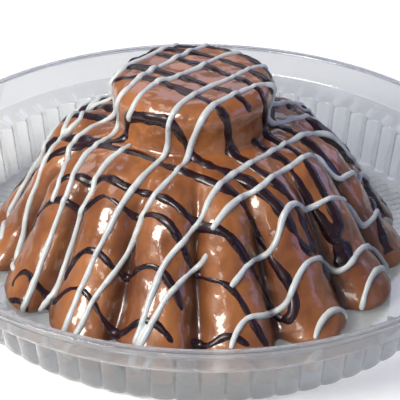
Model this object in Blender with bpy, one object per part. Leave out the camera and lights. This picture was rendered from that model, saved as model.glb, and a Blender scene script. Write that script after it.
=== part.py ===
"""Lava cake: a ring-moulded cake with a small round cake on top, coated in milk chocolate,
striped with dark and white chocolate, sitting in its clear fluted tray.

Metres, +Z up. The origin is the middle of the tray's underside; the front is towards -Y.
"""
import math
import random

import bmesh
import bpy
from mathutils import Vector
from mathutils.bvhtree import BVHTree

MM = 0.001
GAP = 0.3 * MM                      # touching pieces keep this much air

# Clear tray
TRAY_RADIUS = 140.0 * MM            # over the rim
TRAY_HEIGHT = 42.3 * MM
TRAY_WALL = 0.8 * MM
FLUTES = 72
FLUTE_DEPTH = 3.6 * MM              # at their tops; they fade towards the foot
FLUTE_FOOT_SHARE = 0.4
RIM_WIDTH = 2.7 * MM
RIM_DROP = 2.6 * MM                 # height of the rolled rim
BAND_DRAFT = 3.0 * MM               # how far the plain band leans in, top to bottom
BAND_BOTTOM = 28.6 * MM             # the plain band ends in a small step here ...
LEDGE_STEP = 1.3 * MM
FLUTE_TOP = 25.4 * MM               # ... and a sloping ledge runs in from it to the flutes' tops
FLUTE_TOP_RADIUS = 122.8 * MM
LEDGE_RISE = 0.65 * MM              # upper side of the ledge over its underside
CORNER_RADIUS = 118.4 * MM          # foot of the wall
CORNER_HEIGHT = 2.2 * MM
FLOOR_RADIUS = 113.5 * MM           # flat underside

# Ring-moulded cake
CAKE_CENTRE = Vector((-4.5, 8.4, 0.0)) * MM   # middle of its crown, back and left of its foot
LOBES = 16
FIRST_LOBE = -77.0                  # direction of the lobe nearest the front, degrees
LOBE_ROUND = 0.93                   # 1 would be half a circle with a knife-sharp crease
# The lobes aren't spaced evenly. Each stands off its place by this much at the shoulder and at
# the foot, degrees, starting at the first lobe.
CROWN_DRIFT = (-1.0, 1.0, 4.0, 3.0, 1.0, 0.0, 0.0, 0.0, 0.0, 0.0, -1.0, -3.0, -5.0, -6.0, -2.0,
               1.0)
FOOT_DRIFT = (0.0, -1.0, 0.0, 1.0, -1.5, 0.5, 1.5, -1.0, 0.0, 1.5, -1.0, 1.5, 3.0, 3.0, 3.0, 1.5)
# Outline of a lobe's crest and of the crease beside it, from the top to the foot: radius and
# height over the cake's base, millimetres.
CREST = ((28.0, 62.2), (38.0, 61.5), (48.0, 59.3), (57.8, 55.5), (67.0, 48.9), (73.7, 39.8),
         (79.7, 29.3), (86.3, 18.8), (93.4, 9.7), (98.5, 3.6), (97.6, 0.0))
CREASE = ((28.0, 62.2), (38.0, 61.2), (46.9, 58.3), (55.3, 53.1), (62.3, 45.4), (67.2, 36.3),
          (71.8, 25.8), (77.6, 16.0), (83.9, 8.3), (88.7, 3.2), (88.7, 0.0))
FOOT_REACH = Vector((1.5, -6.0, 0.0)) * MM     # a lobe's foot reaches further towards this side
COLUMNS_A_LOBE = 8
CAKE_ROWS = 12

# Small round cake on top
TOP_CENTRE = Vector((-5.3, 8.4, 0.0)) * MM
TOP_RADIUS = 36.7 * MM
TOP_HEIGHT = 22.6 * MM
TOP_CROWN = 0.5 * MM                # its top is this much domed
TOP_EDGE = 7.5 * MM                 # rounding of its upper edge
TOP_WAIST = 34.3 * MM               # it narrows towards the foot
FOOT_FLARE = 3.0 * MM               # the coating runs out round the foot
TOP_COLUMNS = 48

# Chocolate stripes, straight as they were piped, so they dip where the cake does.
# Each is its distance from the tray's middle in millimetres and its turn in degrees from the
# family's heading; some also start or stop at a distance along the stripe.
WHITE_HEADING = 48.0
WHITE_STRIPES = ((82.5, -2.0), (70.5, -3.3), (59.0, -1.3, -45.0, None), (43.0, -2.7, -42.0, None),
                 (39.5, -6.0, None, -48.0), (33.5, 0.7), (15.0, -2.8), (6.0, 0.0), (-13.0, 1.0),
                 (-24.0, 4.8), (-38.5, 4.0), (-51.0, 8.0), (-65.0, 9.0), (-79.0, 4.0),
                 (-93.0, 0.0))
WHITE_WIDTH = 3.6 * MM
WHITE_HEIGHT = 2.0 * MM
DARK_HEADING = -32.0
DARK_STRIPES = ((-81.0, -1.0), (-69.5, 4.5), (-57.0, 3.0), (-47.5, 5.0), (-33.5, -1.0),
                (-25.0, 4.0), (-13.5, 0.5), (-2.5, 0.5), (8.0, -2.0), (19.5, 1.5), (31.0, -1.0),
                (43.0, 2.0), (54.5, -3.0), (66.0, 1.0), (78.0, -2.0), (90.0, 1.0))
DARK_WIDTH = 4.0 * MM
DARK_HEIGHT = 1.5 * MM
STRIPE_SINK = 0.25 * MM
STRIPE_WANDER = 0.9 * MM            # a stripe strays this far to either side of its line ...
WANDER_WAVES = (90.0, 210.0)        # ... in two waves, radians a metre
DARK_SEED = 16
WHITE_SEED = 15
STRIPE_SAMPLE = 1.0 * MM
STRIPE_TOLERANCE = 0.55 * MM        # a stripe's path may leave the surface by this much
STRIPE_CLEAR = 1.0 * MM             # air between a stripe and the other cake or the tray
STRIPE_REACH = 120.0 * MM
SHORTEST_STRIPE = 9.0 * MM

# The fused cakes are made one even skin, then thinned to this many triangles.
SKIN_GRAIN = 0.6 * MM
LOWER_TRIANGLES = 7600
TOP_TRIANGLES = 2300

CAKE_BASE = TRAY_WALL + GAP
CAKE_TOP = CAKE_BASE + CREST[0][1] * MM
TOP_BASE = CAKE_TOP + GAP


def clear_scene():
    for item in list(bpy.data.objects):
        bpy.data.objects.remove(item, do_unlink=True)


def material(name, colour, roughness, transmission=0.0, ior=1.5):
    made = bpy.data.materials.new(name)
    made.use_nodes = True
    shader = made.node_tree.nodes["Principled BSDF"]
    shader.inputs["Base Color"].default_value = (*colour, 1.0)
    shader.inputs["Roughness"].default_value = roughness
    shader.inputs["Metallic"].default_value = 0.0
    shader.inputs["Transmission Weight"].default_value = transmission
    shader.inputs["IOR"].default_value = ior
    made.diffuse_color = (*colour, 1.0)
    return made


def mesh_object(name, vertices, faces, finish, collection=None):
    mesh = bpy.data.meshes.new(name)
    mesh.from_pydata(vertices, [], faces)
    if finish:
        mesh.materials.append(finish)
    made = bpy.data.objects.new(name, mesh)
    (collection or bpy.context.scene.collection).objects.link(made)
    return made


def loft(rows):
    """Vertices and faces of a solid whose rows of points run round it, with flat ends."""
    count = len(rows[0])
    vertices = [point for row in rows for point in row]
    faces = []
    for lower in range(len(rows) - 1):
        for column in range(count):
            following = (column + 1) % count
            faces.append((lower * count + column, lower * count + following,
                          (lower + 1) * count + following, (lower + 1) * count + column))
    last = (len(rows) - 1) * count
    faces.append(tuple(reversed(range(count))))
    faces.append(tuple(range(last, last + count)))
    return vertices, faces


def spline(points, position):
    """Smooth curve through the points, at a position from 0 to 1."""
    scaled = position * (len(points) - 1)
    index = min(int(scaled), len(points) - 2)
    blend = scaled - index
    before = points[index - 1] if index else 2 * points[0] - points[1]
    start, end = points[index], points[index + 1]
    after = points[index + 2] if index + 2 < len(points) else 2 * end - start
    return 0.5 * (2 * start + (end - before) * blend
                  + (2 * before - 5 * start + 4 * end - after) * blend ** 2
                  + (3 * start - before - 3 * end + after) * blend ** 3)


def tray_rows():
    """The tray's outline as (radius, height, share of the flute depth), out, over and in."""
    rim_under = TRAY_HEIGHT - RIM_DROP
    band_top = TRAY_RADIUS - RIM_WIDTH
    band_foot = band_top - BAND_DRAFT
    return [
        (FLOOR_RADIUS, 0.0, 0.0),
        (CORNER_RADIUS, CORNER_HEIGHT, FLUTE_FOOT_SHARE),
        (FLUTE_TOP_RADIUS, FLUTE_TOP, 1.0),
        (band_foot - LEDGE_STEP, BAND_BOTTOM, 0.0),
        (band_foot, BAND_BOTTOM + LEDGE_STEP, 0.0),
        (band_top, rim_under, 0.0),
        (TRAY_RADIUS, rim_under, 0.0),
        (TRAY_RADIUS, TRAY_HEIGHT, 0.0),
        (band_top - TRAY_WALL, TRAY_HEIGHT, 0.0),
        (band_foot - TRAY_WALL, BAND_BOTTOM + LEDGE_STEP, 0.0),
        (band_foot - LEDGE_STEP - TRAY_WALL, BAND_BOTTOM + LEDGE_RISE, 0.0),
        (FLUTE_TOP_RADIUS - TRAY_WALL, FLUTE_TOP + LEDGE_RISE, 1.0),
        (CORNER_RADIUS - TRAY_WALL, CORNER_HEIGHT + TRAY_WALL, FLUTE_FOOT_SHARE),
        (FLOOR_RADIUS - TRAY_WALL, TRAY_WALL, 0.0),
    ]


def make_tray(finish):
    columns = 2 * FLUTES
    rows = []
    for radius, height, share in tray_rows():
        row = []
        for column in range(columns):
            angle = math.tau * column / columns
            reach = radius - (column % 2) * share * FLUTE_DEPTH
            row.append(Vector((reach * math.cos(angle), reach * math.sin(angle), height)))
        rows.append(row)
    return mesh_object("tray", *loft(rows), finish)


def lobe_share(across):
    """0 in the crease and 1 on the crest; across runs from -1 to 1 over a lobe."""
    lowest = math.sqrt(1.0 - LOBE_ROUND ** 2)
    return (math.sqrt(1.0 - (LOBE_ROUND * across) ** 2) - lowest) / (1.0 - lowest)


def crown_drift(lobe):
    """How far the shoulder is turned here, between the values of the lobes on either side."""
    before = int(lobe) % LOBES
    blend = lobe - int(lobe)
    return (1.0 - blend) * CROWN_DRIFT[before] + blend * CROWN_DRIFT[(before + 1) % LOBES]


def lower_cake_rows():
    crest = [Vector(point) * MM for point in CREST]
    crease = [Vector(point) * MM for point in CREASE]
    foot_radius = crest[-2].x
    shoulder_radius = crest[4].x
    columns = LOBES * COLUMNS_A_LOBE
    rows = []
    for number in range(CAKE_ROWS + 1):
        down = number / CAKE_ROWS
        row = []
        for column in range(columns):
            lobe = column / COLUMNS_A_LOBE
            share = lobe_share(2.0 * ((lobe + 0.5) % 1.0 - 0.5))
            outline = spline(crease, down).lerp(spline(crest, down), share)
            near = int(lobe + 0.5) % LOBES
            rise = min(max((foot_radius - outline.x) / (foot_radius - shoulder_radius), 0.0), 1.0)
            drift = FOOT_DRIFT[near] * (1.0 - rise) * share + crown_drift(lobe) * rise
            angle = math.radians(FIRST_LOBE + drift) + math.tau * lobe / LOBES
            way = Vector((math.cos(angle), math.sin(angle), 0.0))
            row.append(CAKE_CENTRE + way * (outline.x + FOOT_REACH.dot(way) * (1.0 - rise))
                       + Vector((0.0, 0.0, CAKE_BASE + outline.y)))
        rows.append(row)
    return rows


def make_lower_cake(finish):
    vertices, faces = loft(list(reversed(lower_cake_rows())))
    return mesh_object("lower_cake", vertices, faces, finish)


def top_cake_outline():
    """Radius and height over its base, from the foot up to the middle of the top."""
    outline = [(TOP_WAIST + FOOT_FLARE, 0.0), (TOP_WAIST + 0.3 * FOOT_FLARE, 0.9 * MM),
               (TOP_WAIST, 3.0 * MM), (TOP_RADIUS, TOP_HEIGHT - TOP_EDGE)]
    for step in range(1, 5):
        turn = math.radians(90.0) * step / 4
        outline.append((TOP_RADIUS - TOP_EDGE * (1.0 - math.cos(turn)),
                        TOP_HEIGHT - TOP_EDGE * (1.0 - math.sin(turn))))
    outline.append((0.45 * TOP_RADIUS, TOP_HEIGHT + 0.8 * TOP_CROWN))
    return outline


def make_top_cake(finish):
    rows = []
    for radius, height in top_cake_outline():
        row = []
        for column in range(TOP_COLUMNS):
            angle = math.tau * column / TOP_COLUMNS
            row.append(TOP_CENTRE + Vector((radius * math.cos(angle), radius * math.sin(angle),
                                            TOP_BASE + height)))
        rows.append(row)
    return mesh_object("top_cake", *loft(rows), finish)


def surface_tree(item):
    mesh = bmesh.new()
    mesh.from_mesh(item.data)
    bmesh.ops.triangulate(mesh, faces=mesh.faces)
    tree = BVHTree.FromBMesh(mesh)
    mesh.free()
    return tree


def stripe_path(stripe, heading, draw):
    """Points of a stripe seen from above, nearly straight, with a slow seeded wander."""
    offset, turn = stripe[0] * MM, stripe[1]
    first = -STRIPE_REACH if len(stripe) < 3 or stripe[2] is None else stripe[2] * MM
    last = STRIPE_REACH if len(stripe) < 4 or stripe[3] is None else stripe[3] * MM
    facing = math.radians(heading)
    side = Vector((math.sin(facing), -math.cos(facing), 0.0))
    if heading < 0.0:
        side = -side
    line = math.radians(heading + turn)
    along = Vector((math.cos(line), math.sin(line), 0.0))
    phases = [draw.uniform(0.0, math.tau) for _ in range(2)]
    points = []
    for step in range(int((last - first) / STRIPE_SAMPLE) + 1):
        way = first + step * STRIPE_SAMPLE
        wander = STRIPE_WANDER * (math.sin(way * WANDER_WAVES[0] + phases[0])
                                  + 0.5 * math.sin(way * WANDER_WAVES[1] + phases[1]))
        points.append(side * (offset + wander) + along * way)
    return points


def draped(points, tree, allowed):
    """Runs of (place, normal) where the stripe lies on the surface."""
    runs, run = [], []
    for point in points:
        place, normal, _, _ = tree.ray_cast(Vector((point.x, point.y, 1.0)), Vector((0, 0, -1)))
        if place is not None and allowed(place):
            run.append((place, normal))
        elif run:
            runs.append(run)
            run = []
    if run:
        runs.append(run)
    return runs


def run_down(run, tree, allowed):
    """The end of a stripe carried on down the overhanging side of the small cake."""
    end = run[-1][0]
    out = Vector((end.x - TOP_CENTRE.x, end.y - TOP_CENTRE.y, 0.0)).normalized()
    if (end - TOP_CENTRE).dot(out) < TOP_WAIST:
        return run
    longer = list(run)
    height = end.z - STRIPE_SAMPLE
    while True:
        start = Vector((TOP_CENTRE.x, TOP_CENTRE.y, height)) + out * STRIPE_REACH
        place, normal, _, _ = tree.ray_cast(start, -out)
        if place is None or not allowed(place):
            return longer
        longer.append((place, normal))
        height -= STRIPE_SAMPLE


def smooth_normals(run, reach=2):
    smoothed = []
    for index, (place, _) in enumerate(run):
        near = run[max(0, index - reach):index + reach + 1]
        smoothed.append((place, sum((normal for _, normal in near), Vector()).normalized()))
    return smoothed


def thin_out(run, tolerance):
    """Keeps only the points that the path needs to stay within the tolerance."""
    if len(run) < 3:
        return run
    start, end = run[0][0], run[-1][0]
    line = (end - start).normalized()
    worst, where = 0.0, 0
    for index in range(1, len(run) - 1):
        away = run[index][0] - start
        distance = (away - line * away.dot(line)).length
        if distance > worst:
            worst, where = distance, index
    if worst < tolerance:
        return [run[0], run[-1]]
    return thin_out(run[:where + 1], tolerance)[:-1] + thin_out(run[where:], tolerance)


def make_bead(run, width, height, collection):
    """A four-sided bead along the path, its lower half inside the cake."""
    rows = []
    for index, (place, normal) in enumerate(run):
        ahead = run[min(index + 1, len(run) - 1)][0] - run[max(index - 1, 0)][0]
        side = ahead.normalized().cross(normal).normalized() * width / 2
        middle = place - normal * STRIPE_SINK
        rows.append([middle + side, middle + normal * (height + STRIPE_SINK), middle - side,
                     middle - normal * height])
    vertices, faces = loft(rows)
    return mesh_object("bead", vertices, faces, finish=None, collection=collection)


def pipe_stripes(cake, allowed, triangles, overhangs=False):
    """Beads of both chocolates over one cake, then one union that fuses them to it."""
    tree = surface_tree(cake)
    beads = bpy.data.collections.new("beads")
    bpy.context.scene.collection.children.link(beads)
    families = ((DARK_STRIPES, DARK_HEADING, DARK_WIDTH, DARK_HEIGHT, DARK_SEED),
                (WHITE_STRIPES, WHITE_HEADING, WHITE_WIDTH, WHITE_HEIGHT, WHITE_SEED))
    for stripes, heading, width, height, seed in families:
        draw = random.Random(seed)
        for stripe in stripes:
            path = stripe_path(stripe, heading, draw)
            for run in draped(path, tree, allowed):
                if (run[-1][0] - run[0][0]).length < SHORTEST_STRIPE:
                    continue
                if overhangs:
                    run = run_down(run, tree, allowed)
                    run = run_down(run[::-1], tree, allowed)
                run = thin_out(smooth_normals(run), STRIPE_TOLERANCE)
                make_bead(run, width, height, beads)
    fuse(cake, beads)
    even_skin(cake, triangles)


def apply_modifier(item, modifier):
    bpy.ops.object.select_all(action="DESELECT")
    bpy.context.view_layer.objects.active = item
    item.select_set(True)
    bpy.ops.object.modifier_apply(modifier=modifier.name)


def fuse(cake, pieces):
    for piece in pieces.objects:
        outward(piece)
    outward(cake)
    union = cake.modifiers.new("stripes", "BOOLEAN")
    union.operation = "UNION"
    union.operand_type = "COLLECTION"
    union.collection = pieces
    apply_modifier(cake, union)
    for piece in list(pieces.objects):
        bpy.data.objects.remove(piece, do_unlink=True)
    bpy.data.collections.remove(pieces)


def even_skin(item, triangles):
    """One closed skin without slivers or sealed pockets, with about this many triangles."""
    skin = item.modifiers.new("skin", "REMESH")
    skin.mode = "VOXEL"
    skin.voxel_size = SKIN_GRAIN
    apply_modifier(item, skin)
    thin = item.modifiers.new("thin", "DECIMATE")
    thin.ratio = triangles / (2 * len(item.data.polygons))
    apply_modifier(item, thin)
    drop_scraps(item)


def drop_scraps(item):
    """Keeps the largest connected piece."""
    mesh = bmesh.new()
    mesh.from_mesh(item.data)
    waiting = set(mesh.verts)
    pieces = []
    while waiting:
        frontier = [waiting.pop()]
        piece = list(frontier)
        while frontier:
            vertex = frontier.pop()
            for edge in vertex.link_edges:
                other = edge.other_vert(vertex)
                if other in waiting:
                    waiting.remove(other)
                    piece.append(other)
                    frontier.append(other)
        pieces.append(piece)
    pieces.sort(key=len)
    for piece in pieces[:-1]:
        bmesh.ops.delete(mesh, geom=piece, context="VERTS")
    mesh.to_mesh(item.data)
    mesh.free()


def outward(item):
    mesh = bmesh.new()
    mesh.from_mesh(item.data)
    bmesh.ops.recalc_face_normals(mesh, faces=mesh.faces)
    mesh.to_mesh(item.data)
    mesh.free()


def on_lower_cake(place):
    """Clear of the small cake's foot and of the tray's floor."""
    away = math.hypot(place.x - TOP_CENTRE.x, place.y - TOP_CENTRE.y)
    return (away > TOP_WAIST + FOOT_FLARE + DARK_WIDTH / 2 + STRIPE_CLEAR
            and place.z > CAKE_BASE + DARK_WIDTH / 2 + STRIPE_CLEAR)


def on_top_cake(place):
    """Clear of the lower cake."""
    return place.z > TOP_BASE + DARK_WIDTH / 2 + STRIPE_CLEAR


def main():
    clear_scene()
    clear_plastic = material("clear_plastic", (0.90, 0.92, 0.93), 0.06, 0.95, 1.57)
    milk = material("milk_chocolate", (0.30, 0.12, 0.045), 0.22, ior=1.46)
    tray = make_tray(clear_plastic)
    outward(tray)
    lower_cake = make_lower_cake(milk)
    pipe_stripes(lower_cake, on_lower_cake, LOWER_TRIANGLES)
    top_cake = make_top_cake(milk)
    pipe_stripes(top_cake, on_top_cake, TOP_TRIANGLES, overhangs=True)
    for item in (tray, lower_cake, top_cake):
        item.data.shade_smooth()
        item.data.set_sharp_from_angle(angle=math.radians(35.0))


main()
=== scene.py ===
"""Looks of the lava cake: a ring-moulded cake with a small round cake on top, coated in milk
chocolate, striped with dark and white chocolate, in its clear fluted tray.

Metres, +Z up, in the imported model's frame: the origin is the middle of the tray's underside and
the front is towards -Y. Sizes are named in millimetres and multiplied by MM.
"""
import math
import random

import bmesh
import bpy
from mathutils import Matrix, Vector
from mathutils.bvhtree import BVHTree


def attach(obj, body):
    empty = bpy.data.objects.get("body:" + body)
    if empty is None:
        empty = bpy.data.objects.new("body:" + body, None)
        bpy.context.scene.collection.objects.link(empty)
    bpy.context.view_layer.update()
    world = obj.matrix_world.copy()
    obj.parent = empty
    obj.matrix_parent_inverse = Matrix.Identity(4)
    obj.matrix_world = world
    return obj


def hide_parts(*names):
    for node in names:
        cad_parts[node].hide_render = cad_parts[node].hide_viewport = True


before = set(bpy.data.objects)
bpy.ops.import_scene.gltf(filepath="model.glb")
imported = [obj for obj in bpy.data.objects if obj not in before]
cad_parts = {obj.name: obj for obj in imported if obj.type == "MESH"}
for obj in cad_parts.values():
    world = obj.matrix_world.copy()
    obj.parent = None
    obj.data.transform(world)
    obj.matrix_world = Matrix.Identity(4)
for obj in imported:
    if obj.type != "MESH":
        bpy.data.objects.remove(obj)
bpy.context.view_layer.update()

MM = 0.001

# Camera, fitted to the tray's rim, ledge and floor in the picture
PICTURE = 400                       # pixels, both ways
SENSOR = 36.0
CAMERA_PLACE = Vector((0.0, -544.2, 348.4)) * MM
CAMERA_LENS = 122.5
CAMERA_YAW = math.radians(0.15)
CAMERA_TILT = math.radians(59.33)   # from straight down
CAMERA_ROLL = math.radians(0.80)

# Clear tray, the same main sizes as in the CAD, with a rolled rim and rounded bends
TRAY_WALL = 0.8
FLOOR_RADII = (40.0, 80.0, 101.0)   # rows of the flat floor
FLOOR_RADIUS = 112.7                # where the floor bends up into the flutes ...
FLOOR_RISE = 0.15                   # ... and how much higher it is there
BEND_TURNS = (30.0, 60.0, 90.0)     # rows of that bend, degrees
FLUTES = 72
FLUTE_COLUMNS = 8
FLUTE_FOOT = (116.0, 2.8)           # inside of a ridge: radius and height at its foot ...
FLUTE_TOP = (118.2, 25.4)           # ... and at its top, where the sloping ledge starts
FLUTE_HEIGHTS = (6.0, 12.0, 18.0, 23.0, 24.6, 25.3)   # rows of the fluted wall
FLUTE_BEND = ((0.3, 0.45), (0.9, 0.75))   # its bend into the ledge: out and up from FLUTE_TOP
FLUTE_DEPTHS = (1.4, 3.6)           # how far the flutes go out between the ridges, foot and top
LEDGE_OUTER = (131.2, 28.7)
LEDGE_SHARES = (0.25, 0.6, 1.0)     # rows of the ledge, from the flutes to LEDGE_OUTER
FLUTE_PHASE = -72.5                 # direction of the middle of one flute, degrees
RIB_HEIGHT = 0.5
RIB_ENDS = ((102.5, 0.0), (110.5, 0.1))   # radius, and how much the floor has risen there
BAND_AND_RIM = ((131.7, 28.7), (132.0, 29.1), (132.7, 29.2), (133.2, 29.4), (133.5, 30.1),
                (136.1, 40.7), (136.3, 41.5), (136.7, 42.05), (137.3, 42.3), (139.2, 42.3),
                (139.7, 42.15), (140.0, 41.8), (140.0, 39.7))

# Ring-moulded cake
CAKE_CENTRE = Vector((-4.5, 8.4, 0.0)) * MM
CAKE_BASE = 1.1
LOBES = 16
LOBE_COLUMNS = 8
FIRST_LOBE = -77.0
LOBE_ROUND = 0.93
# Each lobe stands off its even place by this much at the shoulder and at the foot, degrees.
CROWN_DRIFT = (-1.0, 1.0, 4.0, 3.0, 1.0, 0.0, 0.0, 0.0, 0.0, 0.0, -1.0, -3.0, -5.0, -6.0, -2.0,
               1.0)
FOOT_DRIFT = (0.0, -1.0, 0.0, 1.0, -1.5, 0.5, 1.5, -1.0, 0.0, 1.5, -1.0, 1.5, 3.0, 3.0, 3.0, 1.5)
CREST = ((28.0, 62.2), (38.0, 61.5), (48.0, 59.3), (57.8, 55.5), (67.0, 48.9), (73.7, 39.8),
         (79.7, 29.3), (86.3, 18.8), (93.4, 9.7), (98.5, 3.6), (97.6, 0.0))
CREASE = ((28.0, 62.2), (38.0, 61.2), (46.9, 58.3), (55.3, 53.1), (62.3, 45.4), (67.2, 36.3),
          (71.8, 25.8), (77.6, 16.0), (83.9, 8.3), (88.7, 3.2), (88.7, 0.0))
FOOT_REACH = Vector((1.5, -6.0, 0.0)) * MM   # a lobe's foot reaches further towards this side
CREST_FOOT, CREST_SHOULDER = -2, 4  # which points of CREST these are
CREASE_PULL = 5.5                   # subdivision fills a crease by this much, so it starts deeper
CREASE_DEPTH = 14.0                 # the pull is that much where a crease is this deep
CAKE_ROWS = 18
CROWN_START = 10.0                  # radius of the first row, in the flat middle of the crown
UNDERSIDE_RADII = (80.0, 40.0)
CREASE_SHADE_START, CREASE_SHADE_ROWS = 4, 6.0  # painted shade: creases darken from this row down, over this many rows
# how sharply the painted shade gathers towards the bottom of a crease
CREASE_SHADE_POWER = 1.2
LOWER_RIPPLE = (2.2, 1.1)           # strength of the coat's lumps and of its finer flow
LUMP_SIZE = 14.0
FLOW_SIZE = 6.0
FLOW_STRETCH = 1.3                  # the flow is drawn out downwards by this much
FOOT_FADE = 4.0                     # the coat's unevenness fades out over this height at the foot

# Small round cake
TOP_CENTRE = Vector((-5.3, 8.4, 0.0)) * MM
TOP_BASE = 63.6
TOP_HEIGHT = 22.6
TOP_RADIUS = 36.7
TOP_WAIST = 34.3
TOP_EDGE = 7.5
TOP_FILLET = 3.2                    # the coating runs out onto the lower cake
TOP_MIDDLE = (14.0, 0.4)            # first row: its radius, and how far it is above the edge
TOP_BRIM = (3.0, 0.3)               # next row: how far it is inside the rounded edge, and above it
TOP_HALF_IN = 10.5                  # height on the side halfway in from TOP_RADIUS ...
TOP_WAIST_HEIGHT = 5.5              # ... and where it is narrowest, at TOP_WAIST
ROUND_STEPS = 4                     # rows of the rounded edge and of the fillet
FILLET_TURN = 80.0                  # degrees
FILLET_SINK = 1.6                   # how far below TOP_BASE the fillet would end if it went to 90
TOP_SKIRT = 3.5                     # the coat ends this far below TOP_BASE, in the lower cake
TOP_COLUMNS = 48
TOP_RIPPLE = (1.2, 0.7)

# Piped stripes, each a list of places in the camera's picture of PICTURE by PICTURE pixels, from
# its far end to its near one. At an open end (True) it runs on in its heading. A number at the
# end is its width as a share of the others'.
WHITE_HEADING = math.radians(48.0)
WHITE_STRIPES = (
    (((204, 46), (190, 50), (176, 57), (163, 65), (150, 72), (138, 79), (128, 89), (120, 98),
      (118, 108), (118, 122), (115, 133), (103, 141), (92, 149), (82, 160), (75, 170), (71, 184),
      (66, 197), (60, 212), (54, 228), (48, 245), (41, 263), (34, 282), (28, 297), (24, 314)),
     True, False),
    (((238, 52), (225, 55), (213, 60), (202, 66), (190, 71), (178, 76), (166, 80), (154, 84),
      (145, 91), (138, 99), (133, 108), (129, 121)), True, False),
    (((131, 144), (122, 150), (112, 157), (104, 166), (98, 175), (94, 184), (92, 193), (84, 206),
      (80, 217), (77, 228), (70, 250), (65, 264), (60, 279), (56, 290), (50, 298), (42, 308),
      (39, 314)), False, False),
    (((262, 66), (252, 68), (241, 73), (229, 79), (217, 84), (205, 89), (195, 94), (187, 99),
      (180, 105), (173, 113), (169, 121), (168, 131), (168, 141), (167, 150), (163, 158),
      (155, 165), (147, 172), (140, 180), (133, 188), (124, 201), (117, 212), (111, 225),
      (104, 239), (96, 253), (92, 263), (88, 274), (82, 286), (77, 297), (72, 310), (68, 322),
      (62, 338)), True, False),
    (((273, 85), (262, 84), (252, 87), (242, 91), (232, 95), (222, 100), (213, 105), (207, 111),
      (202, 119), (198, 127), (194, 137), (190, 148), (188, 157), (184, 164), (176, 172),
      (165, 184), (155, 194), (149, 204), (143, 214), (139, 226), (135, 239), (128, 254),
      (120, 265), (111, 277), (101, 289), (93, 300), (88, 310), (84, 320), (78, 331), (73, 339)),
     True, False),
    (((355, 163), (347, 153), (338, 141), (328, 134), (318, 133), (308, 134), (298, 137), (289, 142),
      (280, 147), (270, 152), (261, 157), (250, 163), (240, 170), (229, 177), (219, 185),
      (211, 196), (206, 207), (203, 215), (197, 226), (188, 236), (178, 247), (170, 256),
      (163, 266), (158, 278), (153, 291), (148, 304), (144, 318), (139, 332), (134, 344)),
     True, False),
    (((374, 190), (367, 178), (361, 172), (352, 173), (345, 176), (339, 181), (333, 176),
      (327, 170), (321, 161), (314, 155), (306, 156), (299, 160), (292, 166), (284, 170),
      (275, 175), (268, 180), (261, 187), (254, 192), (245, 195), (237, 200), (229, 207),
      (222, 215), (217, 222), (212, 230)), True, False),
    (((207, 254), (205, 259), (200, 265), (193, 271), (186, 276), (180, 283), (173, 290),
      (167, 296), (163, 303), (158, 312), (153, 321), (148, 330), (143, 340), (139, 348)),
     False, False),
    (((392, 225), (387, 219), (381, 216), (374, 218), (368, 222), (363, 229), (358, 222),
      (352, 212), (347, 204), (341, 199), (334, 197), (327, 199), (320, 203), (312, 208),
      (304, 211), (299, 204), (294, 202), (288, 207), (283, 215), (281, 224), (279, 234),
      (276, 243), (270, 252), (263, 257), (256, 259), (250, 262), (245, 268), (240, 275),
      (235, 282), (231, 287)), True, False),
    (((393, 276), (388, 269), (381, 259), (377, 252), (372, 247), (366, 246), (361, 248),
      (357, 253), (352, 261), (347, 267), (340, 272), (333, 273), (330, 270), (327, 265),
      (322, 260), (316, 258), (310, 260), (304, 265), (300, 273), (296, 281), (292, 289),
      (290, 298), (287, 304), (279, 310), (270, 314), (262, 316), (254, 316), (247, 317),
      (242, 323), (237, 331), (233, 340), (231, 349)), True, False),
    (((393, 275), (388, 270), (382, 268), (376, 270), (371, 277), (367, 287), (364, 298),
      (361, 313)), True, False),
    (((348, 320), (346, 314), (342, 310), (337, 309), (331, 311), (325, 316), (320, 324),
      (317, 331), (315, 339)), False, False),
    (((111, 99), (104, 101), (96, 105), (89, 109), (82, 117), (75, 125), (67, 132), (60, 140),
      (53, 148), (47, 157), (43, 165), (40, 174), (36, 187), (30, 200), (27, 211), (25, 222),
      (24, 235), (20, 247), (16, 258), (14, 270)), True, False),
    (((112, 117), (105, 120), (97, 124), (89, 129), (81, 135), (74, 141), (69, 149), (67, 159),
      (64, 169), (61, 178), (58, 186), (54, 196), (52, 202)), True, False),
    (((69, 117), (65, 127), (61, 138)), True, False),
    (((51, 134), (47, 142), (44, 152), (39, 162), (32, 170), (27, 179), (22, 188), (17, 197),
      (12, 206), (7, 216), (4, 227), (1, 240)), True, False),
    (((306, 117), (296, 117), (285, 119), (276, 118)), True, False, 0.6),
    (((304, 111), (297, 105), (290, 101), (280, 102), (272, 106)), True, False, 0.6),
)
WHITE_RADIUS = 1.5
WHITE_LIFT = -0.3                   # a cord's middle lies this far below what it crosses
WHITE_VOXEL = 0.45
WHITE_SEED = 15
DARK_HEADING = math.radians(-32.0)
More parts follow.
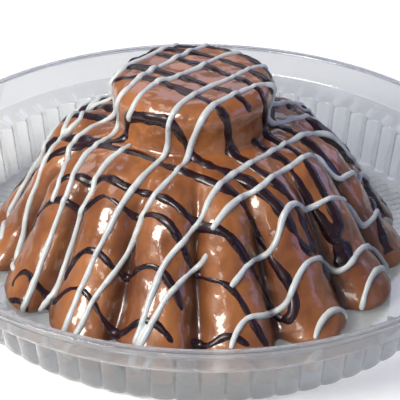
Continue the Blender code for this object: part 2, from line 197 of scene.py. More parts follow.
DARK_STRIPES = (
    (((80, 110), (88, 107), (96, 106), (104, 107), (111, 108), (113, 82), (121, 79), (131, 78),
      (141, 77), (151, 79), (161, 82), (171, 86), (181, 90), (191, 94), (200, 98), (209, 102),
      (217, 108), (223, 113), (227, 120), (228, 128), (228, 136), (229, 143), (231, 150),
      (236, 157), (244, 161), (254, 167), (264, 174), (273, 181), (281, 187), (288, 194),
      (294, 203), (299, 212), (304, 223), (308, 234), (312, 244), (317, 256)), True, False),
    (((84, 115), (92, 116), (100, 118), (108, 120), (120, 70), (130, 67), (140, 67), (150, 69),
      (160, 72), (170, 74), (180, 77), (190, 80), (200, 83), (210, 86), (220, 89), (230, 92),
      (237, 96), (243, 101), (248, 106), (251, 112)), True, False),
    (((253, 138), (257, 143), (264, 149), (272, 153), (280, 157), (287, 163), (293, 173),
      (299, 183), (304, 192), (310, 202), (315, 211), (321, 220), (327, 228), (334, 236),
      (340, 243)), False, False),
    (((137, 59), (147, 54), (157, 54), (167, 56), (177, 59), (188, 62), (200, 65), (210, 68),
      (220, 72), (230, 76), (240, 79), (249, 83), (256, 87), (261, 93), (264, 102), (265, 111),
      (265, 121), (266, 131), (271, 138), (279, 143), (288, 147), (297, 152), (304, 159),
      (310, 167), (316, 177), (321, 187), (326, 198), (332, 208), (338, 219), (343, 231)),
     True, False),
    (((158, 51), (168, 49), (180, 51), (192, 53), (204, 55), (216, 58), (228, 62), (238, 65),
      (248, 70), (257, 74), (264, 79), (269, 85), (272, 92), (272, 100), (271, 110), (271, 119),
      (277, 127), (287, 131), (298, 134), (308, 140), (315, 148), (321, 156), (327, 165),
      (334, 175), (340, 184)), True, False),
    (((176, 47), (187, 47), (198, 46), (210, 47), (221, 49), (232, 52), (243, 55), (252, 59),
      (260, 64), (267, 71), (272, 79), (274, 88)), True, True),
    (((284, 103), (292, 107), (300, 113), (308, 119), (316, 125), (324, 131), (332, 138),
      (340, 147), (348, 156), (356, 164), (362, 173), (366, 184), (369, 194), (372, 204),
      (376, 214), (380, 226), (384, 238), (388, 251), (391, 265)), True, False, 1.35),
    (((40, 157), (43, 150), (49, 145), (58, 141), (69, 139), (80, 138), (91, 139), (102, 141),
      (112, 142), (119, 141), (124, 138), (126, 131), (126, 123), (129, 116), (136, 117),
      (146, 119), (156, 120), (165, 121), (172, 125), (178, 131), (183, 140), (187, 149),
      (192, 157), (200, 162), (211, 166), (222, 170), (233, 174), (243, 179), (254, 186),
      (264, 193), (272, 200), (279, 208), (286, 218), (293, 229), (300, 240), (306, 250),
      (312, 256)), True, False),
    (((44, 162), (51, 156), (60, 151), (70, 148), (82, 145), (95, 145), (107, 146), (118, 149),
      (129, 151), (140, 154), (150, 158), (159, 163), (170, 167), (182, 171), (194, 175),
      (206, 180), (218, 185), (229, 190), (238, 196), (244, 205), (249, 216), (254, 227),
      (260, 239), (266, 250), (272, 261), (279, 270), (286, 278), (291, 288), (294, 299),
      (295, 309), (291, 318), (283, 322)), True, False, 0.85),
    (((53, 190), (57, 184), (63, 178), (71, 175), (80, 177), (87, 180), (92, 185), (97, 180),
      (105, 177), (113, 180), (123, 186), (134, 190), (146, 193), (157, 196), (168, 200),
      (178, 206), (185, 214), (191, 221), (199, 226), (208, 228), (217, 229), (226, 233),
      (234, 241), (241, 250), (247, 259), (253, 270), (259, 282), (265, 295), (270, 306),
      (275, 315), (283, 322)), False, False, 0.85),
    (((29, 235), (34, 224), (39, 213), (45, 206), (52, 201), (60, 199), (68, 202), (76, 208),
      (82, 213), (87, 208), (94, 200), (104, 195), (112, 199), (121, 206), (130, 214),
      (138, 219), (144, 215), (152, 214), (160, 217), (168, 222), (175, 232), (181, 242),
      (186, 254), (191, 267), (197, 275), (205, 279), (214, 280), (223, 282), (230, 287),
      (237, 295), (243, 304), (249, 315), (255, 326), (262, 338), (268, 348)), False, False,
     0.67),
    (((64, 282), (67, 273), (72, 264), (78, 256), (85, 250), (92, 249), (99, 253), (106, 259),
      (113, 268), (120, 275), (128, 279), (134, 273), (141, 267), (150, 265), (159, 268),
      (166, 276), (173, 287), (179, 299), (182, 312)), False, False, 0.67),
    (((12, 289), (13, 281), (18, 274), (25, 270), (30, 275), (35, 284), (42, 291), (49, 298),
      (55, 302), (60, 296), (67, 290), (76, 287), (84, 290), (90, 298), (96, 307), (102, 318),
      (109, 329), (117, 337), (124, 333), (132, 326), (140, 321), (149, 320), (158, 325),
      (166, 333), (174, 345)), False, False, 0.67),
    (((190, 341), (198, 345), (206, 348), (213, 344), (220, 338), (228, 335), (236, 337),
      (244, 342), (252, 349)), False, False, 0.67),
    (((4, 302), (12, 301), (21, 300), (25, 306), (28, 315)), False, False, 0.5),
    (((320, 261), (324, 268), (328, 276), (332, 285), (337, 294)), False, False),
    (((341, 238), (342, 248), (341, 258), (340, 268)), False, False, 1.5),
    (((347, 240), (348, 248), (349, 257), (345, 266)), False, False, 1.4),
)
DARK_RADIUS = 3.6
DARK_LIFT = -2.6
DARK_VOXEL = 0.6
DARK_SEED = 16
# Guessed straight ones, this far from the middle towards the back right. Parts of the first two
# show at the right in the camera's picture.
DARK_BEHIND = (61.0, 73.0, 84.0, 94.0)
# the most that a piece may have
STRIPE_TRIANGLES = 180000           # stripes with more triangles than this are thinned out to about this many
STRIPE_REACH = 130.0
STRIPE_SAMPLE = 1.0
LONGEST_SPAN = 26.0                 # a longer step between two places passes behind something
SETTLE = 4.0                        # how far a stripe may have to rise to lie on what it crosses
LARGEST_SWELL = 1.2                 # a cord's widest place, as a share of its radius
SWELLS = ((0.09, 0.11), (0.07, 0.31), (0.04, 0.73))   # how much and how fast its width wanders
TIP_START, TIP_GROWTH = 0.75, 0.12  # a cord's width at its very end, and its growth per point
SIDE_DROP = 2.5                     # a stripe falls down a side where it drops by more than this
LOWEST_STRIPE = 1.5                 # a stripe stops where the coat is lower than this
SHORTEST_RUN = 5                    # samples
RELAX_ROUNDS = 8
SIGHT_START, SIGHT_STEP, SIGHT_STEPS = 450.0, 2.0, 170   # for a line that misses the cakes

# Surfaces and studio
CHOCOLATE_IOR = 1.46                # typical of cocoa butter
PET_IOR = 1.57                      # typical of the clear sheet
SMOOTH_ANGLE = math.radians(60.0)   # sharper edges than this stay sharp
STAGE_SIZE = 8.0                    # metres
STAGE_DROP = 0.0002                 # metres under the tray
LIGHT_AIM = Vector((0.0, 0.0, 0.04))


def deselect():
    """Nothing is selected."""
    bpy.ops.object.select_all(action="DESELECT")


def activate(piece):
    """This piece alone is selected and active."""
    deselect()
    bpy.context.view_layer.objects.active = piece
    piece.select_set(True)


def apply_modifier(piece, kind, **settings):
    """Adds a modifier with its settings and applies it."""
    activate(piece)
    modifier = piece.modifiers.new(kind.lower(), kind)
    for name, value in settings.items():
        setattr(modifier, name, value)
    bpy.ops.object.modifier_apply(modifier=modifier.name)


def spline(points, position):
    """Smooth curve through the points, at a position from 0 to 1."""
    scaled = position * (len(points) - 1)
    index = min(int(scaled), len(points) - 2)
    blend = scaled - index
    before = points[index - 1] if index else 2 * points[0] - points[1]
    start, end = points[index], points[index + 1]
    after = points[index + 2] if index + 2 < len(points) else 2 * end - start
    return 0.5 * (2 * start + (end - before) * blend
                  + (2 * before - 5 * start + 4 * end - after) * blend ** 2
                  + (3 * start - before - 3 * end + after) * blend ** 3)


# ---------------------------------------------------------------- pieces built up row by row


def select_only(piece, indices):
    """In edit mode, selects these vertices and nothing else."""
    mesh = bmesh.from_edit_mesh(piece.data)
    mesh.verts.ensure_lookup_table()
    for vertex in mesh.verts:
        vertex.select = False
    mesh.select_flush(False)
    for index in indices:
        mesh.verts[index].select = True
    mesh.select_flush_mode()
    bmesh.update_edit_mesh(piece.data, loop_triangles=False, destructive=False)


def start_ring(name, columns, centre, radius, height, heading=0.0):
    """A ring of vertices in edit mode: the first row of a piece. Returns it and its row.
    Its first vertex lies in the direction of heading, in degrees, and the rest follow
    counter-clockwise."""
    deselect()
    bpy.ops.mesh.primitive_circle_add(vertices=columns, radius=radius * MM,
                                      location=(centre.x, centre.y, height * MM),
                                      rotation=(0.0, 0.0, math.radians(heading - 90.0)))
    piece = bpy.context.active_object
    piece.name = name
    piece.data.name = name
    bpy.ops.object.transform_apply(location=True, rotation=True, scale=True)
    bpy.ops.object.mode_set(mode="EDIT")
    bpy.ops.mesh.select_mode(type="VERT")
    bpy.ops.mesh.select_all(action="SELECT")
    return piece, list(range(columns))


def next_row(piece, row):
    """Extrudes the row in place and returns the new one, column for column."""
    select_only(piece, row)
    bpy.ops.mesh.extrude_region_move()
    mesh = bmesh.from_edit_mesh(piece.data)
    return [vertex.index for vertex in mesh.verts if vertex.select]


def place_columns(piece, row, columns, centre, radius, height):
    """Moves these columns of a row to a radius and a height in mm."""
    indices = [row[column] for column in columns]
    select_only(piece, indices)
    now = bmesh.from_edit_mesh(piece.data).verts[indices[0]].co.copy()
    reach = math.hypot(now.x - centre.x, now.y - centre.y)
    factor = radius * MM / reach
    bpy.ops.transform.resize(value=(factor, factor, 1.0), center_override=(centre.x, centre.y, 0.0))
    bpy.ops.transform.translate(value=(0.0, 0.0, height * MM - now.z))


def finish_ring():
    """Turns the faces outward and leaves edit mode."""
    bpy.ops.mesh.select_all(action="SELECT")
    bpy.ops.mesh.normals_make_consistent(inside=False)
    bpy.ops.object.mode_set(mode="OBJECT")


def cap(piece, row):
    """Closes a row with one face."""
    select_only(piece, row)
    bpy.ops.mesh.edge_face_add()


def arc_share(across):
    """0 beside the crease and 1 on the crest; across runs from -1 to 1 over a lobe."""
    lowest = math.sqrt(1.0 - LOBE_ROUND ** 2)
    return (math.sqrt(1.0 - (LOBE_ROUND * across) ** 2) - lowest) / (1.0 - lowest)


def columns_of(step, each, count):
    """Columns that lie this many steps to either side of a crest."""
    return [column for column in range(each * count)
            if min(column % each, each - column % each) == step]


# ---------------------------------------------------------------- cakes


def rise_at(radius):
    """0 at the foot and 1 from the shoulder up, for a point at this distance out."""
    foot, shoulder = CREST[CREST_FOOT][0], CREST[CREST_SHOULDER][0]
    return min(max((foot - radius) / (foot - shoulder), 0.0), 1.0)


def make_lower_coat():
    """The coated ring-moulded cake: rows from the top down to the foot, then one skin."""
    crest = [Vector(point) for point in CREST]
    crease = [Vector(point) for point in CREASE]
    half = LOBE_COLUMNS // 2
    piece, top_row = start_ring("lower_cake_coat", LOBES * LOBE_COLUMNS, CAKE_CENTRE,
                                CROWN_START, CAKE_BASE + CREST[0][1], FIRST_LOBE)
    row, rows = top_row, []
    for number in range(CAKE_ROWS + 1):
        down = number / CAKE_ROWS
        row = next_row(piece, row)
        radii = []
        for step in range(half + 1):
            outer = spline(crest, down)
            outline = spline(crease, down).lerp(outer, arc_share(step / half))
            pull = CREASE_PULL * (outer.x - outline.x) / CREASE_DEPTH if step == half else 0.0
            place_columns(piece, row, columns_of(step, LOBE_COLUMNS, LOBES), CAKE_CENTRE,
                          outline.x - pull, CAKE_BASE + outline.y)
            radii.append(outline.x)
        rows.append((row, radii))
    for radius in UNDERSIDE_RADII:
        row = next_row(piece, row)
        place_columns(piece, row, range(len(row)), CAKE_CENTRE, radius, CAKE_BASE)
    cap(piece, row)
    cap(piece, top_row)
    for row, radii in rows[1:]:
        swirl(piece, row, radii)
    finish_ring()
    # painted shade in the creases, read by the milk chocolate's colour
    mark_crease_shade(piece, [row for row, _ in rows])
    apply_modifier(piece, "SUBSURF", levels=2, render_levels=2)
    return piece


def mark_crease_shade(piece, rows):
    """Paints shade into the creases: notes for the colour how far each point lies towards the bottom
    of a crease, from 0 on a crest to 1.
    """
    crease_shade = piece.data.attributes.new("crease_shade", "FLOAT", "POINT")
    for number, row in enumerate(rows):
        depth = min(max((number - CREASE_SHADE_START) / CREASE_SHADE_ROWS, 0.0), 1.0)
        for column, index in enumerate(row):
            step = min(column % LOBE_COLUMNS, LOBE_COLUMNS - column % LOBE_COLUMNS)
            inward = 1.0 - arc_share(2.0 * step / LOBE_COLUMNS)
            crease_shade.data[index].value = depth * inward ** CREASE_SHADE_POWER


def crown_drift(lobe):
    """How far the shoulder is turned here, between the values of the lobes on either side."""
    before = math.floor(lobe)
    blend = lobe - before
    return ((1.0 - blend) * CROWN_DRIFT[before % LOBES]
            + blend * CROWN_DRIFT[(before + 1) % LOBES])


def swirl(piece, row, radii):
    """Turns a row's lobes by how far each drifts, and lets their feet reach out unevenly."""
    half = len(radii) - 1
    for step, radius in enumerate(radii):
        rise = rise_at(radius)
        for lobe, drift in enumerate(FOOT_DRIFT):
            for side in ((1,) if step in (0, half) else (-1, 1)):
                turn = (crown_drift(lobe + side * step / LOBE_COLUMNS) * rise
                        + drift * (1.0 - rise) * arc_share(step / half))
                column = (lobe * LOBE_COLUMNS + side * step) % len(row)
                drift_vertex(piece, row[column], math.radians(turn), 1.0 - rise)


def drift_vertex(piece, index, turn, reach):
    """Turns a vertex about the crown's centre, and moves it out by its share of FOOT_REACH."""
    select_only(piece, [index])
    if turn:
        bpy.ops.transform.rotate(value=-turn, orient_axis="Z",
                                 center_override=(CAKE_CENTRE.x, CAKE_CENTRE.y, 0.0))
    if reach:
        way = bmesh.from_edit_mesh(piece.data).verts[index].co - CAKE_CENTRE
        way.z = 0.0
        way.normalize()
        bpy.ops.transform.translate(value=way * FOOT_REACH.dot(way) * reach)


def top_outline():
    """Radius and height of the small cake's coat, from the middle of the top to the foot."""
    height = TOP_BASE + TOP_HEIGHT
    outline = [(TOP_MIDDLE[0], height + TOP_MIDDLE[1]),
               (TOP_RADIUS - TOP_EDGE - TOP_BRIM[0], height + TOP_BRIM[1])]
    for step in range(ROUND_STEPS + 1):
        turn = math.radians(90.0) * step / ROUND_STEPS
        outline.append((TOP_RADIUS - TOP_EDGE * (1.0 - math.sin(turn)),
                        height - TOP_EDGE * (1.0 - math.cos(turn))))
    outline += [(0.5 * (TOP_RADIUS + TOP_WAIST), TOP_BASE + TOP_HALF_IN),
                (TOP_WAIST, TOP_BASE + TOP_WAIST_HEIGHT)]
    for step in range(1, ROUND_STEPS + 1):
        turn = math.radians(FILLET_TURN) * step / ROUND_STEPS
        outline.append((TOP_WAIST + TOP_FILLET * (1.0 - math.cos(turn)),
                        TOP_BASE - FILLET_SINK + TOP_FILLET * (1.0 - math.sin(turn))))
    outline.append((TOP_WAIST + TOP_FILLET, TOP_BASE - TOP_SKIRT))
    return outline


def make_top_coat():
    """The coated small cake, whose coat runs out in a fillet over the lower one."""
    outline = top_outline()
    piece, row = start_ring("top_cake_coat", TOP_COLUMNS, TOP_CENTRE, *outline[0])
    top_row = row
    for radius, height in outline[1:]:
        row = next_row(piece, row)
        place_columns(piece, row, range(len(row)), TOP_CENTRE, radius, height)
    cap(piece, row)
    cap(piece, top_row)
    finish_ring()
    apply_modifier(piece, "SUBSURF", levels=3, render_levels=3)
    return piece


def cloud(name, size):
    """A soft noise pattern with patches of this size in mm."""
    made = bpy.data.textures.new(name, "CLOUDS")
    made.noise_scale = size * MM
    made.noise_depth = 1
    return made


def ripple(piece, lumps, flow):
    """Uneven coat: slow lumps and finer ripples that run down the sides, in mm of height. They
    fade out at the foot, so that the underside stays flat on what carries it."""
    lowest = min(vertex.co.z for vertex in piece.data.vertices)
    above = piece.vertex_groups.new(name="above_foot")
    for vertex in piece.data.vertices:
        above.add([vertex.index], min((vertex.co.z - lowest) / (FOOT_FADE * MM), 1.0), "REPLACE")
    bpy.ops.object.empty_add(location=(0.0, 0.0, 0.0))
    stretch = bpy.context.active_object
    stretch.scale = (1.0, 1.0, FLOW_STRETCH)
    bpy.context.view_layer.update()
    apply_modifier(piece, "DISPLACE", texture=cloud("lumps", LUMP_SIZE), texture_coords="LOCAL",
                   strength=lumps * MM, mid_level=0.5, vertex_group=above.name)
    apply_modifier(piece, "DISPLACE", texture=cloud("flow", FLOW_SIZE), texture_coords="OBJECT",
                   texture_coords_object=stretch, strength=flow * MM, mid_level=0.5,
                   vertex_group=above.name)
    piece.vertex_groups.clear()
    bpy.data.objects.remove(stretch, do_unlink=True)


# ---------------------------------------------------------------- stripes


def skin_of(*pieces):
    """The surface of these pieces, to find places on."""
    vertices, faces = [], []
    for piece in pieces:
        start = len(vertices)
        vertices += [vertex.co.copy() for vertex in piece.data.vertices]
        faces += [[start + index for index in face.vertices] for face in piece.data.polygons]
    return BVHTree.FromPolygons(vertices, faces)


def camera_turn():
    """How the camera is turned, as a matrix."""
    return (Matrix.Rotation(CAMERA_YAW, 3, "Z") @ Matrix.Rotation(CAMERA_TILT, 3, "X")
            @ Matrix.Rotation(CAMERA_ROLL, 3, "Z"))


def land(pixel, skin):
    """Where the line of sight through a place in the picture meets the skin, or passes it."""
    across, down = pixel
    reach = CAMERA_LENS / SENSOR * PICTURE
    way = camera_turn() @ Vector((across - PICTURE / 2, PICTURE / 2 - down, -reach))
    way.normalize()
    place = skin.ray_cast(CAMERA_PLACE, way)[0]
    if place is None:
        tries = [skin.find_nearest(CAMERA_PLACE + way * (SIGHT_START + SIGHT_STEP * step) * MM)
                 for step in range(SIGHT_STEPS)]
        place = min(tries, key=lambda found: found[3])[0]
    return place


def span(start, end, skin):
    """Points (place, normal) on the skin from one place to the next."""
    steps = max(int((end - start).length / (STRIPE_SAMPLE * MM)), 1)
    between = [start.lerp(end, step / steps) for step in range(steps)]
    if (end - start).length > LONGEST_SPAN * MM:
        return [point for run in drape(between, skin) for point in run]
    return [skin.find_nearest(point)[:2] for point in between]


def run_on(place, way, skin):
    """A stripe carried on from its open end, as seen from above."""
    route = [place + way * STRIPE_SAMPLE * MM * step for step in range(int(STRIPE_REACH * 2))]
    runs = drape(route, skin)
    return runs[0] if runs else []


def stripe_run(pixels, open_first, open_last, heading, skin):
    """The whole stripe as (place, normal), a point about every STRIPE_SAMPLE."""
    places = [land(pixel, skin) for pixel in pixels]
    away = Vector((math.cos(heading), math.sin(heading), 0.0))
    if heading < 0.0:
        away = -away
    run = []
    if open_first:
        run += reversed(run_on(places[0], away, skin))
    for start, end in zip(places, places[1:]):
        run += span(start, end, skin)
    run.append(skin.find_nearest(places[-1])[:2])
    if open_last:
        run += run_on(places[-1], -away, skin)
    return run


def straight_runs(offset, heading, skin):
    """A straight stripe over the whole cake, offset mm from the tray's middle towards the back."""
    along = Vector((math.cos(heading), math.sin(heading), 0.0))
    side = Vector((-along.y, along.x, 0.0))
    count = int(STRIPE_REACH / STRIPE_SAMPLE)
    return drape([(side * offset + along * STRIPE_SAMPLE * step) * MM
                  for step in range(-count, count + 1)], skin)


def drop_down(skin, high, low):
    """Points down the small cake's side, between where a stripe leaves the top and lands."""
    points = []
    height = high.z - STRIPE_SAMPLE * MM
    while height > low.z + STRIPE_SAMPLE * MM:
        share = (high.z - height) / (high.z - low.z)
        spot = high.lerp(low, share)
        out = Vector((spot.x - TOP_CENTRE.x, spot.y - TOP_CENTRE.y, 0.0)).normalized()
        start = Vector((TOP_CENTRE.x, TOP_CENTRE.y, height)) + out * STRIPE_REACH * MM
        place, normal, _, _ = skin.ray_cast(start, -out)
        if place is not None:
            points.append((place, normal))
        height -= STRIPE_SAMPLE * MM
    return points


def drape(route, skin):
    """Runs of (place, normal) where the route, dropped from a metre up, lies on the skin. Where
    it drops down a side, the points between are filled in."""
    runs, run = [], []
    for point in route:
        place, normal, _, _ = skin.ray_cast(Vector((point.x, point.y, 1.0)), Vector((0, 0, -1)))
        if place is None or place.z < LOWEST_STRIPE * MM:
            if run:
                runs.append(run)
            run = []
            continue
        if run:
            last = run[-1][0]
            if last.z - place.z > SIDE_DROP * MM:
                run += drop_down(skin, last, place)
            elif place.z - last.z > SIDE_DROP * MM:
                run += reversed(drop_down(skin, place, last))
        run.append((place, normal))
    if run:
        runs.append(run)
    return [run for run in runs if len(run) > SHORTEST_RUN]


def relax(run, skin):
    """Evens out a run as a flowing stripe does: neighbours pull each point between them, but
    it never sinks into the coat."""
    for _ in range(RELAX_ROUNDS):
        places = [place for place, _ in run]
        normals = [normal for _, normal in run]
        run = [(places[i] if i in (0, len(run) - 1)
                else (places[i - 1] + 2 * places[i] + places[i + 1]) / 4,
                (normals[max(i - 1, 0)] + normals[i]
                 + normals[min(i + 1, len(run) - 1)]).normalized())
               for i in range(len(run))]
    settled = []
    for place, normal in run:
        above = skin.ray_cast(place + normal * SETTLE * MM, -normal, SETTLE * MM)[0]
        settled.append((above or place, normal))
    return settled


def pipe(run, radius, lift, draw):
    """One stripe as a round cord of chocolate along the run, a little uneven, that ends above
    the foot of the cake."""
    curve = bpy.data.curves.new("stripe", "CURVE")
    curve.dimensions = "3D"
    curve.bevel_depth = radius * MM
    curve.bevel_resolution = 2
    curve.use_fill_caps = True
    line = curve.splines.new("POLY")
    line.points.add(len(run) - 1)
    phases = [draw.uniform(0.0, math.tau) for _ in SWELLS]
    for index, (place, normal) in enumerate(run):
        middle = place + normal * lift * MM
        middle.z = max(middle.z, (CAKE_BASE + LARGEST_SWELL * radius) * MM)
        line.points[index].co = (*middle, 1.0)
        swell = 0.0
        for (size, rate), phase in zip(SWELLS, phases):
            swell += size * math.sin(index * rate + phase)
        near_end = min(index, len(run) - 1 - index)
        line.points[index].radius = (1.0 + swell) * min(1.0, TIP_START + TIP_GROWTH * near_end)
    stripe = bpy.data.objects.new("stripe", curve)
    bpy.context.scene.collection.objects.link(stripe)
    return stripe


def make_stripes(name, stripes, behind, heading, radius, lift, skin, voxel, seed):
    """All stripes of one chocolate, run together where they cross."""
    draw = random.Random(seed)
    cords = []
    for pixels, open_first, open_last, *width in stripes:
        share = width[0] if width else 1.0
        run = stripe_run(pixels, open_first, open_last, heading, skin)
        cords.append(pipe(relax(run, skin), radius * share, lift * share, draw))
    for offset in behind:
        cords += [pipe(relax(run, skin), radius, lift, draw)
                  for run in straight_runs(offset, heading, skin)]
    deselect()
    for cord in cords:
        cord.select_set(True)
    bpy.context.view_layer.objects.active = cords[0]
    bpy.ops.object.convert(target="MESH")
    bpy.ops.object.join()
    piece = bpy.context.active_object
    piece.name = name
    piece.data.name = name
    apply_modifier(piece, "REMESH", mode="VOXEL", voxel_size=voxel * MM)
    apply_modifier(piece, "SMOOTH", factor=0.5, iterations=4)
    faces = sum(len(face.vertices) - 2 for face in piece.data.polygons)
    if faces > STRIPE_TRIANGLES:
        apply_modifier(piece, "DECIMATE", ratio=STRIPE_TRIANGLES / faces)
    return piece


# ---------------------------------------------------------------- tray


def flute_reach(height, across):
    """Inner radius of the tray's fluted wall at a height, across a flute from -1 to 1."""
    share = (height - FLUTE_FOOT[1]) / (FLUTE_TOP[1] - FLUTE_FOOT[1])
    ridge = FLUTE_FOOT[0] + share * (FLUTE_TOP[0] - FLUTE_FOOT[0])
    depth = FLUTE_DEPTHS[0] + share * (FLUTE_DEPTHS[1] - FLUTE_DEPTHS[0])
    return ridge + depth * arc_share(across)


def make_tray():
    """One thin sheet: floor, fluted wall, sloping ledge, plain band and a rim rolled outward."""
    centre = Vector((0.0, 0.0, 0.0))
    half = FLUTE_COLUMNS // 2
    total = FLUTES * FLUTE_COLUMNS
    piece, first_row = start_ring("tray_clear", total, centre, FLOOR_RADII[0], TRAY_WALL,
                                  FLUTE_PHASE)
    row = first_row

    def add_row(shape):
        """A new row, whose radius and height shape gives for a place across a flute."""
        nonlocal row
        row = next_row(piece, row)
        for step in range(half + 1):
            place_columns(piece, row, columns_of(step, FLUTE_COLUMNS, FLUTES), centre,
                          *shape(step / half))

    for radius in FLOOR_RADII[1:]:
        add_row(lambda across: (radius, TRAY_WALL))
    for radius, risen in RIB_ENDS:  # short ribs, under each ridge and midway between two
        add_row(lambda across: (radius,
                                TRAY_WALL + risen + RIB_HEIGHT * (across in (0.0, 1.0))))
    add_row(lambda across: (FLOOR_RADIUS, TRAY_WALL + FLOOR_RISE))
    for degrees in BEND_TURNS:
        turn = math.radians(degrees)
        add_row(lambda across: (
            FLOOR_RADIUS + (flute_reach(FLUTE_FOOT[1], across) - FLOOR_RADIUS) * math.sin(turn),
            FLUTE_FOOT[1] - (FLUTE_FOOT[1] - TRAY_WALL - FLOOR_RISE) * math.cos(turn)))
    for height in FLUTE_HEIGHTS:
        add_row(lambda across: (flute_reach(height, across), height))
    for out, up in FLUTE_BEND:
        add_row(lambda across: (flute_reach(FLUTE_TOP[1], across) + out, FLUTE_TOP[1] + up))
    bend_out, bend_up = FLUTE_BEND[-1]
    for share in LEDGE_SHARES:
        add_row(lambda across: (
            (1.0 - share) * (flute_reach(FLUTE_TOP[1], across) + bend_out)
            + share * LEDGE_OUTER[0],
            (1.0 - share) * (FLUTE_TOP[1] + bend_up) + share * LEDGE_OUTER[1]))
    for radius, height in BAND_AND_RIM:
        add_row(lambda across: (radius, height))
    cap(piece, first_row)
    finish_ring()
    apply_modifier(piece, "SOLIDIFY", thickness=TRAY_WALL * MM, offset=-1.0)
    return piece


# ---------------------------------------------------------------- materials


def colour(code):
    """Linear colour of an sRGB hex code."""
    parts = [int(code[i:i + 2], 16) / 255 for i in (1, 3, 5)]
    linear = [part / 12.92 if part <= 0.04045 else ((part + 0.055) / 1.055) ** 2.4
              for part in parts]
    return (*linear, 1.0)


def add_node(tree, kind, settings=None, inputs=None):
    """Adds a node, sets its properties, and sets or links its inputs."""
    made = tree.nodes.new("ShaderNode" + kind)
    for name, value in (settings or {}).items():
        setattr(made, name, value)
    for name, value in (inputs or {}).items():
        if isinstance(value, bpy.types.NodeSocket):
            tree.links.new(value, made.inputs[name])
        else:
            made.inputs[name].default_value = value
    return made


def new_material(name):
    """A material with its node tree and its main shader."""
    made = bpy.data.materials.new(name)
    made.use_nodes = True
    return made, made.node_tree, made.node_tree.nodes["Principled BSDF"]


def chocolate(name, light, dark, crease_shade_tone, roughness, mottle, grain, dents, coat, soft):
    """A set coating: two tones in soft patches, painted shade in a third, darker tone towards the
    bottom of the creases, and a skin that isn't quite flat. mottle and grain are the sizes of the
    patches and of the dents in mm, dents their depth. coat is the thin gloss on top, soft the light
    let in."""
    made, tree, shader = new_material(name)
    place = add_node(tree, "TexCoord").outputs["Object"]
    patches = add_node(tree, "TexNoise", inputs={"Vector": place, "Scale": 1.0 / (mottle * MM),
                                                 "Detail": 3.0, "Roughness": 0.55})
    tone = add_node(tree, "ValToRGB", inputs={"Fac": patches.outputs["Fac"]})
    tone.color_ramp.elements[0].position = 0.36
    tone.color_ramp.elements[0].color = colour(dark)
    tone.color_ramp.elements[1].position = 0.64
    tone.color_ramp.elements[1].color = colour(light)
    # painted shade: the colour turns darker towards the bottom of the creases
    crease_shade = add_node(tree, "Attribute", {"attribute_name": "crease_shade"})
    mixed = add_node(tree, "MixRGB", inputs={"Fac": crease_shade.outputs["Fac"],
                                             "Color1": tone.outputs["Color"],
                                             "Color2": colour(crease_shade_tone)})
    tree.links.new(mixed.outputs["Color"], shader.inputs["Base Color"])
    skin = add_node(tree, "TexNoise", inputs={"Vector": place, "Scale": 1.0 / (grain * MM),
                                              "Detail": 2.0, "Roughness": 0.5})
    bump = add_node(tree, "Bump", inputs={"Height": skin.outputs["Fac"], "Strength": 1.0,
                                          "Distance": dents * MM})
    tree.links.new(bump.outputs["Normal"], shader.inputs["Normal"])
    tree.links.new(bump.outputs["Normal"], shader.inputs["Coat Normal"])
    gloss = add_node(tree, "MapRange", inputs={"Value": patches.outputs["Fac"],
                                               "From Min": 0.3, "From Max": 0.7,
                                               "To Min": roughness[0], "To Max": roughness[1]})
    tree.links.new(gloss.outputs["Result"], shader.inputs["Roughness"])
    shader.inputs["IOR"].default_value = CHOCOLATE_IOR
    shader.inputs["Coat Weight"].default_value = coat
    shader.inputs["Coat Roughness"].default_value = 0.08
    shader.inputs["Subsurface Weight"].default_value = soft
    shader.inputs["Subsurface Radius"].default_value = (1.0, 0.45, 0.25)
    shader.inputs["Subsurface Scale"].default_value = 1.5 * MM
    return made


def clear_plastic():
    """Thermoformed PET: clear and glossy, a trace grey where walls lie behind each other."""
    made, tree, shader = new_material("thermoformed_pet")
    shader.inputs["Base Color"].default_value = colour("#c6cacc")
    shader.inputs["IOR"].default_value = PET_IOR
    shader.inputs["Transmission Weight"].default_value = 1.0
    place = add_node(tree, "TexCoord").outputs["Object"]
    waves = add_node(tree, "TexNoise", inputs={"Vector": place, "Scale": 1.0 / (9.0 * MM),
                                               "Detail": 1.0})
    bump = add_node(tree, "Bump", inputs={"Height": waves.outputs["Fac"], "Strength": 1.0,
                                          "Distance": 0.012 * MM})
    tree.links.new(bump.outputs["Normal"], shader.inputs["Normal"])
    shader.inputs["Roughness"].default_value = 0.02
    shader.inputs["Alpha"].default_value = 0.75
    return made


def set_material(piece, made):
    """Gives a piece its one material and smooth shading."""
    piece.data.materials.clear()
    piece.data.materials.append(made)
    activate(piece)
    bpy.ops.object.shade_smooth_by_angle(angle=SMOOTH_ANGLE)


# ---------------------------------------------------------------- stage


def make_stage():
    """Matt white backdrop paper that the tray stands on. It glows a little, as if lit through."""
    deselect()
    bpy.ops.mesh.primitive_plane_add(size=STAGE_SIZE, location=(0.0, 0.0, -STAGE_DROP))
    floor = bpy.context.active_object
    floor.name = "floor"
    made, _, shader = new_material("white_paper")
    shader.inputs["Base Color"].default_value = colour("#fafafa")
    shader.inputs["Roughness"].default_value = 0.9
    shader.inputs["Emission Color"].default_value = colour("#ffffff")
    shader.inputs["Emission Strength"].default_value = 0.22
    floor.data.materials.append(made)


def softbox(name, azimuth, elevation, distance, width, height, power, code):
    """A soft light; azimuth 0 is on the camera's side and grows to the right."""
    turn, rise = math.radians(azimuth), math.radians(elevation)
    way = Vector((math.sin(turn) * math.cos(rise), -math.cos(turn) * math.cos(rise),
                  math.sin(rise)))
    deselect()
    bpy.ops.object.light_add(type="AREA", location=way * distance + LIGHT_AIM)
    light = bpy.context.active_object
    light.name = name
    light.rotation_mode = "QUATERNION"
    light.rotation_quaternion = way.to_track_quat("Z", "Y")
    light.data.shape = "RECTANGLE"
    light.data.size = width
    light.data.size_y = height
    light.data.energy = power
    light.data.color = colour(code)[:3]


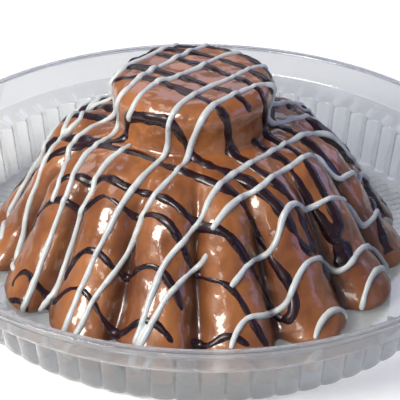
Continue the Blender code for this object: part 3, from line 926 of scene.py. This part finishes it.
def light_scene():
    """Soft studio light: a key from the left front, weak fills, and a pale surround."""
    softbox("key", -50.0, 42.0, 1.0, 0.40, 0.36, 11.8, "#fffaf2")
    softbox("high_left", -112.0, 60.0, 1.0, 0.45, 0.35, 1.8, "#fffdf8")
    softbox("front", -14.0, 31.0, 1.2, 0.16, 0.24, 1.0, "#fffdf8")
    softbox("back", 178.0, 36.0, 1.3, 1.10, 0.45, 2.5, "#e6e6ff")
    softbox("right", 125.0, 22.0, 1.1, 0.60, 0.40, 1.3, "#c6c6ff")
    softbox("right_front", 70.0, 20.0, 1.1, 0.50, 0.40, 1.2, "#9fb0ff")
    world = bpy.data.worlds.new("studio")
    world.use_nodes = True
    bpy.context.scene.world = world
    back = world.node_tree.nodes["Background"]
    back.inputs["Color"].default_value = colour("#dfe5f2")
    back.inputs["Strength"].default_value = 0.22
    bpy.context.scene.view_settings.view_transform = "Standard"


def make_camera():
    """The camera that looks at the front from above."""
    deselect()
    bpy.ops.object.camera_add(location=CAMERA_PLACE)
    camera = bpy.context.active_object
    camera.matrix_world = Matrix.Translation(CAMERA_PLACE) @ camera_turn().to_4x4()
    camera.data.lens = CAMERA_LENS
    camera.data.sensor_width = SENSOR
    bpy.context.scene.camera = camera


# ---------------------------------------------------------------- build


def main():
    """Builds the stage and the five pieces, gives each its material and hangs it under the root
    body.
    """
    make_camera()
    make_stage()
    light_scene()
    # Milk chocolate poured over both cakes and left to set: glossy, with shade painted into its
    # colour in the creases.
    milk = chocolate("milk_chocolate", "#9f6335", "#774425", "#3f2219", (0.3, 0.42), 20.0, 4.5,
                     0.3, 0.75, 0.05)
    # Dark chocolate piped over the set coat in soft lines that sank and spread.
    dark = chocolate("dark_chocolate", "#281219", "#1a0b11", "#1a0b11", (0.22, 0.34), 9.0, 2.0,
                     0.05, 0.0, 0.0)
    # White chocolate piped last, thicker and duller, so it stands up as a round cord.
    white = chocolate("white_chocolate", "#c4c9cb", "#b6bbbe", "#b6bbbe", (0.3, 0.42), 8.0, 1.6,
                      0.06, 0.1, 0.1)
    lower = make_lower_coat()
    top = make_top_coat()
    ripple(lower, *LOWER_RIPPLE)
    ripple(top, *TOP_RIPPLE)
    skin = skin_of(lower, top)
    darks = make_stripes("dark_stripes", DARK_STRIPES, DARK_BEHIND, DARK_HEADING, DARK_RADIUS,
                         DARK_LIFT, skin, DARK_VOXEL, DARK_SEED)
    skin = skin_of(lower, top, darks)
    whites = make_stripes("white_stripes", WHITE_STRIPES, (), WHITE_HEADING, WHITE_RADIUS,
                          WHITE_LIFT, skin, WHITE_VOXEL, WHITE_SEED)
    tray = make_tray()
    for piece, made, slot in ((lower, milk, "milk_chocolate"), (top, milk, "milk_chocolate"),
                              (darks, dark, "dark_chocolate"),
                              (whites, white, "white_chocolate"),
                              (tray, clear_plastic(), "clear_plastic")):
        set_material(piece, made)
        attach(piece, "root")
    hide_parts("lower_cake")
    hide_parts("top_cake")
    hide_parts("tray")


main()
